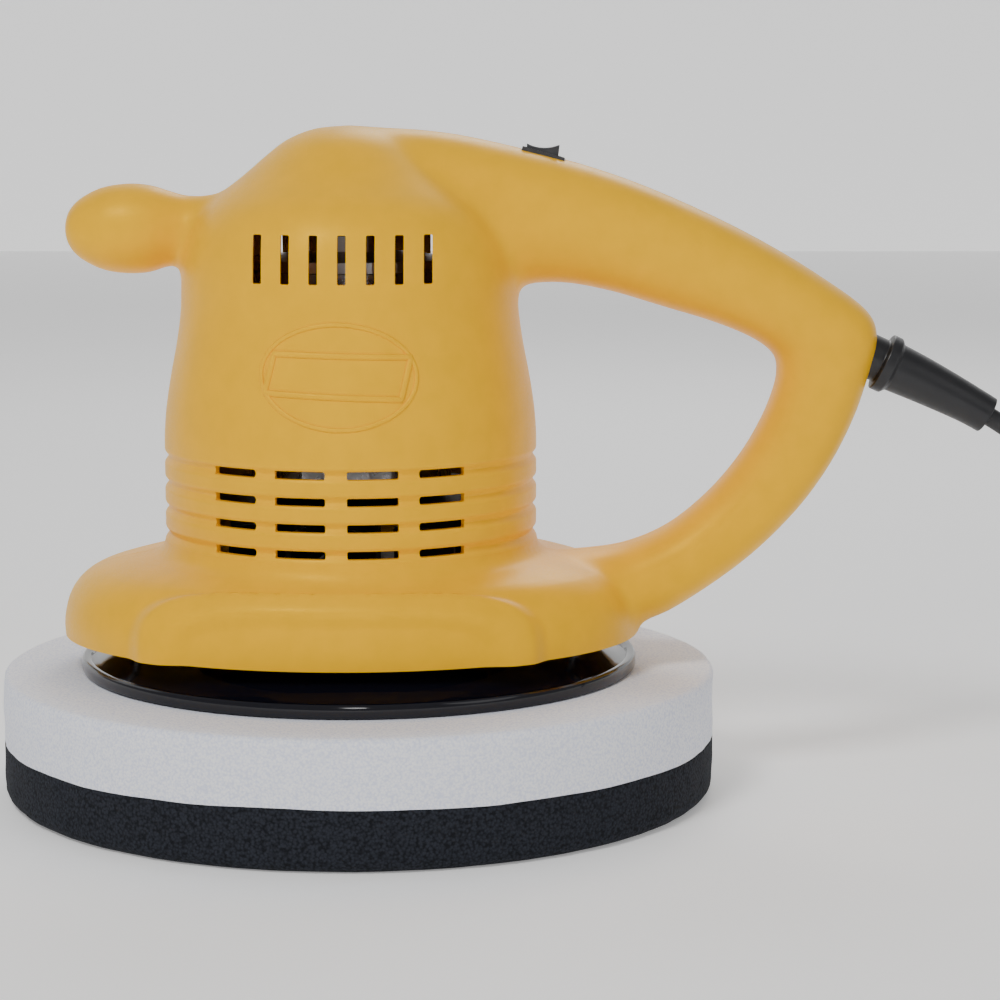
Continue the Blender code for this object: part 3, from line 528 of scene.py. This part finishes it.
def make_tie(mats):
    """The strap round the coil: a thin closed band."""
    low, high = (Vector(c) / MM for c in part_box("coil_tie"))
    middle = (low + high) / 2
    half_y, half_z = (high.y - low.y) / 2, (high.z - low.z) / 2
    rings, steps, squareness = [], 48, 7.0
    half, thick = 4.6, 0.8
    for inner, side in ((0.0, -half), (0.0, half), (thick, half), (thick, -half)):
        ring = []
        for k in range(steps):
            c, s = superellipse(2 * math.pi * k / steps, squareness)
            ring.append((middle.x + side, middle.y + (half_y - inner) * c, middle.z + (half_z - inner) * s))
        rings.append(ring)
    tie = new_piece("coil_strap", loft(rings, closed=True), mats["hook_fabric"])
    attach(tie, "housing")
    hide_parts("coil_tie")
    return tie


def make_sleeve(mats):
    """The rubber sleeve: two flanges with a neck between them, then a smooth taper."""
    rings, steps = [], 40
    rows = list(SLEEVE[:7]) + refined(SLEEVE[6:], 10)[1:]
    for i, (x, z, r) in enumerate(rows):
        x0, z0, _ = rows[max(i - 1, 0)]
        x1, z1, _ = rows[min(i + 1, len(rows) - 1)]
        across = Vector((-(z1 - z0), 0, x1 - x0)).normalized()
        turns = [2 * math.pi * k / steps for k in range(steps)]
        circle = [across * math.cos(t) + Vector((0, math.sin(t), 0)) for t in turns]
        rings.append([Vector((x, 0, z)) + p * r for p in circle])
    sleeve = rounded(new_piece("sleeve", loft(rings), mats["rubber"], 40.0), 0.5)
    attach(sleeve, "housing")
    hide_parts("cord_sleeve")


# ---------------------------------------------------------------- housing


def barrel_form(depth, steps):
    """The barrel as a solid, its skin moved in by depth."""
    points = refined(BARREL[1:], 4)
    points = [BARREL[0]] + [tuple(p) for p in points]
    if depth:
        points = inset(points, depth)
        points[0] = (points[0][0], BARREL_BASE)
    points[-1] = (0.0, points[-1][1])
    return turned(points + [(0.0, BARREL_BASE)], steps)


def knob_form(depth, steps):
    outline = inset([(r, x) for x, r in refined(KNOB, 4)], depth)
    outline[0] = (0.0, outline[0][1])
    return turned(outline + [(0.0, KNOB[-1][0])], steps, along_x(KNOB_Z))


def arch(x, z):
    """How far the skirt's front and back stand out: a raised arch with a shallow panel inside it."""
    def inside(half, top, soft):
        d = (abs((x - ARCH_MIDDLE) / half) ** 4 + (max(z - ARCH_BASE, 0.0) / top) ** 4) ** 0.25
        t = min(1.0, max(0.0, (1 + soft - d) / (2 * soft)))
        return t * t * (3 - 2 * t)
    *band, rise = ARCH_BAND
    *panel, sink = ARCH_PANEL
    return rise * inside(*band) - sink * inside(*panel)


def skirt_form(depth, steps):
    rows = refined(SKIRT, 5)
    if not depth:
        rows = [(*SKIRT[0][:2], SKIRT[0][2] - TRIM)] + rows
    edge = inset([(a, z) for a, _, z in rows], depth)
    rings = [(moved, b - (a - moved), z) for (a, b, _), (moved, z) in zip(rows, edge)]
    if depth:
        rings[0] = (*rings[1][:2], SKIRT[0][2] - 2 * WALL)
    turns = [2 * math.pi * i / steps for i in range(steps)]
    return loft([[(a * math.cos(t), b * math.sin(t), z) for t in turns] for a, b, z in rings])


def handle_form(depth, steps):
    rings = []
    for ox, oz, ix, iz, width in refined(HANDLE, 5):
        middle = Vector(((ox + ix) / 2, 0, (oz + iz) / 2))
        reach = Vector(((ox - ix) / 2, 0, (oz - iz) / 2))
        deep = reach.normalized() * (reach.length - depth)
        wide = Vector((0, width - depth, 0))
        ring = []
        for k in range(steps):
            c, s = superellipse(2 * math.pi * k / steps, SQUARENESS)
            ring.append(middle + deep * c + wide * s)
        rings.append(ring)
    return loft(rings)


def joined_form(name, depth, steps, mat):
    """The barrel, skirt, handle and knob as one object, their skins moved in by depth."""
    obj = new_piece(name, barrel_form(depth, steps), mat)
    for form, sides in ((skirt_form, steps), (handle_form, steps // 2), (knob_form, steps // 2)):
        boolean(obj, form(depth, sides), "UNION")
    return obj


def blended(obj, voxel, fillet):
    """Remeshes the joined forms evenly, rounds the creases between them and raises the arches."""
    trees = []
    for form in (barrel_form, skirt_form, handle_form, knob_form):
        bm = form(0.0, 64)
        bm.transform(Matrix.Scale(MM, 4))
        trees.append(BVHTree.FromBMesh(bm))
        bm.free()
    remesh = obj.modifiers.new("remesh", "REMESH")
    remesh.mode, remesh.voxel_size = "VOXEL", voxel
    settle(obj)
    group = obj.vertex_groups.new(name="creases")
    for v in obj.data.vertices:
        near = sorted(tree.find_nearest(v.co, CREASE_SEARCH)[3] or CREASE_SEARCH for tree in trees)[1]
        weight = min(1.0, max(0.0, (CREASE_REACH - near) / (0.7 * CREASE_REACH)))
        if weight:
            group.add([v.index], weight, "REPLACE")
    soften = obj.modifiers.new("soften", "SMOOTH")
    soften.factor, soften.iterations, soften.vertex_group = 0.5, fillet, "creases"
    even = obj.modifiers.new("even", "SMOOTH")
    even.factor, even.iterations = 0.5, 3
    settle(obj)
    raise_arches(obj)
    return obj

def raise_arches(obj):
    """Moves the skirt's front and back out: sideways low down, and upwards where it rolls over."""
    wide, deep, _ = SKIRT[0]
    for v in obj.data.vertices:
        x, y, z = v.co / MM
        if z < ARCH_TOP and abs(y) > ARCH_NEAR:
            level = Vector((x / wide ** 2, y / deep ** 2, 0)).normalized()
            t = min(1.0, max(0.0, (z - ROLL_Z) / ROLL_HEIGHT))
            out = (level * (1 - t) + Vector((0, 0, t))).normalized()
            v.co += out * arch(x, z) * min(1.0, (abs(y) - ARCH_NEAR) / ARCH_FADE) * MM

def groove_rings():
    """Cutters for the rounded grooves that carry the louvre rows round the barrel."""
    cutters = []
    for z in ROWS:
        outline = []
        for i in range(9):
            u = -1 + i / 4
            r = BARREL_R - GROOVE_DEPTH * math.cos(u * math.pi / 2) ** 2 + GROOVE_LIP
            outline.append((r, z + u * GROOVE_HALF))
        outer = 66.0
        cutters.append(turned(outline + [(outer, z + GROOVE_HALF), (outer, z - GROOVE_HALF)], 144))
    return merged(*cutters)


def rounded_bar(low, high, radius, matrix=None):
    bm = block(low, high)
    bmesh.ops.bevel(bm, geom=bm.edges[:], offset=radius, segments=2, profile=0.5, affect="EDGES")
    if matrix:
        bm.transform(matrix)
    return bm


def louvres():
    cutters = []
    half_w, half_h = LOUVRE[0] / 2, LOUVRE[1] / 2
    near, far = LOUVRE_REACH
    for side in (-90, 90):
        for z in ROWS:
            for angle in LOUVRE_ANGLES:
                turn = Matrix.Rotation(math.radians(side + angle), 4, "Z")
                low, high = (near, -half_w, z - half_h), (far, half_w, z + half_h)
                cutters.append(rounded_bar(low, high, 0.45, turn))
    return merged(*cutters)


def vents():
    cutters = []
    half = VENT_WIDTH / 2
    near, far = VENT_REACH
    for x in VENT_X:
        for low, high in ((-far, -near), (near, far)):
            cutters.append(rounded_bar((x - half, low, VENT_Z[0]), (x + half, high, VENT_Z[1]), 0.42))
    return merged(*cutters)


def screw_holes():
    seat, radius, outside = 8.0, 3.9, 90.0
    outline = [(0, seat), (radius, seat), (radius, outside), (0, outside)]
    return merged(*(turned(outline, 32, along_y(x, z)) for x, z in SCREWS))


def make_housing(mats):
    """The two halves: the blended outer form, hollowed, cut for its openings and parted."""
    mat = mats["yellow_plastic"]
    voxel, fillet = ((VOXEL, FILLET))
    shell = blended(joined_form("shell", 0.0, 128, mat), voxel, fillet)
    cavity = joined_form("cavity", WALL, 48, mat)
    boolean(shell, copy_mm(cavity), "DIFFERENCE")
    boolean(shell, groove_rings(), "DIFFERENCE")
    low, wide = SKIRT[0][2], 200.0
    boolean(shell, block((-wide, -wide, low - 20), (wide, wide, low)), "DIFFERENCE")
    for cutter in (louvres(), vents(), screw_holes()):
        boolean(shell, cutter, "DIFFERENCE")
    seat = block((-7.5, -5.5, -1.5), (7.5, 5.5, 12.0), switch_frame())
    through = block((-6.9, -4.7, -25.0), (6.9, 4.7, 12.0), switch_frame())
    (x0, z0, r0), (x1, z1, _) = SLEEVE[2], SLEEVE[3]
    aim = Vector((x1 - x0, 0, z1 - z0)).normalized()
    aligned = Matrix.Translation((x0, 0, z0)) @ aim.to_track_quat("Z", "Y").to_matrix().to_4x4()
    start, end, bore = -14.0, 30.0, r0 + GAP
    sleeve_bore = turned([(0, start), (bore, start), (bore, end), (0, end)], 40, aligned)
    for cutter in (seat, through, sleeve_bore):
        boolean(shell, cutter, "DIFFERENCE")
    for name, node, low, high in (("front_shell", "housing_front", -FAR, -SPLIT),
                                  ("back_shell", "housing_back", SPLIT, FAR)):
        half = new_piece(name, copy_mm(shell), mat)
        boolean(half, block((-FAR, low, -FAR), (FAR, high, FAR)), "INTERSECT")
        half.data.shade_smooth()
        half.data.set_sharp_from_angle(angle=math.radians(32))
        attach(half, "housing")
        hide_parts(node)
    for obj in (shell, cavity):
        bpy.data.objects.remove(obj, do_unlink=True)


def barrel_radius(z):
    """The barrel's outer radius at a height."""
    profile = refined(BARREL[1:], 6)
    return float(np.interp(z, [p[1] for p in profile], [p[0] for p in profile]))


def make_emblem(mats):
    """A plain raised oval with a slanted frame inside it, on the barrel's front."""
    oval_steps, side_steps = 120, 24
    half_width, half_height = EMBLEM_OVAL
    oval = []
    for k in range(oval_steps):
        t = 2 * math.pi * k / oval_steps
        oval.append((half_width * math.cos(t), half_height * math.sin(t)))
    frame_line = []
    for (u0, w0), (u1, w1) in zip(EMBLEM_CORNERS, EMBLEM_CORNERS[1:] + EMBLEM_CORNERS[:1]):
        for k in range(side_steps):
            frame_line.append((u0 + (u1 - u0) * k / side_steps, w0 + (w1 - w0) * k / side_steps))
    c, s = math.cos(EMBLEM_TILT), math.sin(EMBLEM_TILT)
    for name, line, radius in (("emblem_oval", oval, 0.55), ("emblem_frame", frame_line, 0.75)):
        centre = []
        for u, w in line:
            x = EMBLEM_AT[0] + u * c - w * s
            z = EMBLEM_AT[1] + u * s + w * c
            centre.append(Vector((x, -math.sqrt(barrel_radius(z) ** 2 - x * x), z)))
        rings, count = [], len(centre)
        for i, p in enumerate(centre):
            run = (centre[(i + 1) % count] - centre[i - 1]).normalized()
            out = Vector((p.x, p.y, 0)).normalized()
            side = run.cross(out).normalized()
            turns = [2 * math.pi * k / 10 for k in range(10)]
            rings.append([p + (side * math.cos(t) * 1.4 + out * math.sin(t)) * radius for t in turns])
        piece = new_piece(name, loft(rings, closed=True), mats["yellow_plastic"], 60.0)
        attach(piece, "housing")


# ---------------------------------------------------------------- plate, pad and switch


def make_plate(mats):
    """The glossy backing plate: a rounded rim, a domed top and the hub for the bearing."""
    low, high = (Vector(c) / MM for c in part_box("backing_plate"))
    place = Matrix.Translation(((low.x + high.x) / 2, (low.y + high.y) / 2, 0))
    r, base, rim, recess = (high.x - low.x) / 2, low.z, low.z + 4.4, low.z + 1.3
    outline = [(10.0, recess), (90.0, recess), (90.0, base), (r - 0.6, base), (r - 0.15, base + 0.2),
               (r, base + 0.7), (r, rim - 1.0), (r - 0.2, rim - 0.4), (r - 0.7, rim), (r - 2.2, rim),
               (r - 2.8, rim - 0.3), (r - 3.4, rim - 1.2), (88.0, rim - 1.1), (84.0, 47.6), (80.0, 49.2),
               (76.0, 50.6), (71.0, 51.7), (66.0, 52.2), (24.0, 52.2), (18.5, 53.5), (18.0, 57.0),
               (14.3, 57.0), (14.3, 47.9), (10.0, 47.9)]
    plate = new_piece("plate", turned(outline, 160, place), mats["gloss_black"], 28.0)
    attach(plate, "pad_carrier")
    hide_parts("backing_plate")


def seam_wave(angle):
    """How far the glue line strays up or down at an angle round the pad."""
    return 0.35 * math.sin(3 * angle + 0.4) + 0.2 * math.sin(7 * angle + 1.3) + 0.12 * math.sin(17 * angle)


def foam_disc(name, node, mat, outline, seam, steps):
    """A foam disc with a slightly uneven cut side. seam is the height of its face on the glue line."""
    low, high = (Vector(c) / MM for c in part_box(node))
    middle = Vector(((low.x + high.x) / 2, (low.y + high.y) / 2, 0))
    bm = turned(outline, steps)
    for v in bm.verts:
        r = math.hypot(v.co.x, v.co.y)
        if r < 1:
            continue
        angle = math.atan2(v.co.y, v.co.x)
        if abs(v.co.z - seam) < 0.6:
            v.co.z += seam_wave(angle) * min(1.0, max(0.0, (r - 80.0) / 30.0))
        rough = noise.noise(v.co * 0.11) * 0.35 + noise.noise(v.co * 0.6) * 0.18 - 0.3
        if r > 110:
            v.co.x += rough * v.co.x / r
            v.co.y += rough * v.co.y / r
    bm.transform(Matrix.Translation(middle))
    piece = new_piece(name, bm, mat, 60.0)
    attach(piece, "pad_carrier")
    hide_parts(node)


def make_foam(mats):
    steps = 200
    r, split, top = PAD_R, PAD_SPLIT, PAD_TOP
    side = [(r, split + GAP + 1.5 + (top - 4.0 - split) * i / 7) for i in range(8)]
    upper = [(0, split + GAP), (60.0, split + GAP), (100.0, split + GAP), (r, split + GAP)] + side
    upper += [(r - 0.3, top - 1.0), (r - 1.0, top - 0.3), (r - 2.0, top)]
    upper += [(110.0, top), (100.0, top), (60.0, top), (0, top)]
    foam_disc("pad_white", "foam_white", mats["white_foam"], upper, split + GAP, steps)
    lower = [(0, 0), (60.0, 0), (108.0, 0)]
    lower += [(r - 5 + 5 * math.sin(a), 5 - 5 * math.cos(a)) for a in (math.pi / 2 * i / 6 for i in range(7))]
    lower += [(r, 7.0 + 2.6 * i) for i in range(4)] + [(r, split), (100.0, split), (60.0, split), (0, split)]
    foam_disc("pad_dark", "foam_dark", mats["dark_foam"], lower, split, steps)


def make_switch(mats):
    """The rocker with its concave top, and softened edges on the case."""
    top = [(-5.4, 3.9), (-4.2, 3.42), (-2.8, 3.0), (-1.2, 2.75), (0.0, 2.7), (1.2, 2.75), (2.8, 3.0),
           (4.2, 3.42), (5.4, 3.9)]
    outline = top + [(5.2, 1.2), (5.0, -1.5), (0.0, -4.0), (-5.0, -1.5), (-5.2, 1.2)]
    rings = [[(x, y, z) for x, z in outline] for y in (-3.6, -3.5, -1.2, 1.2, 3.5, 3.6)]
    turn = switch_frame() @ Matrix.Translation((0, 0, ROCKER_PIVOT)) @ Matrix.Rotation(-ROCKER_SWING, 4, "Y")
    bm = loft(rings)
    bm.transform(turn)
    rocker = rounded(new_piece("rocker_key", bm, mats["black_plastic"], 40.0), 0.25)
    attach(rocker, "switch_rocker")
    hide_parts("rocker")
    rounded(frame["nodes"]["switch_case"], 0.25, 2)


make_camera()
materials = make_materials()
make_studio()
paint_frame(materials)
make_cord(materials)
make_sleeve(materials)
make_housing(materials)
make_emblem(materials)
make_plate(materials)
make_foam(materials)
make_switch(materials)
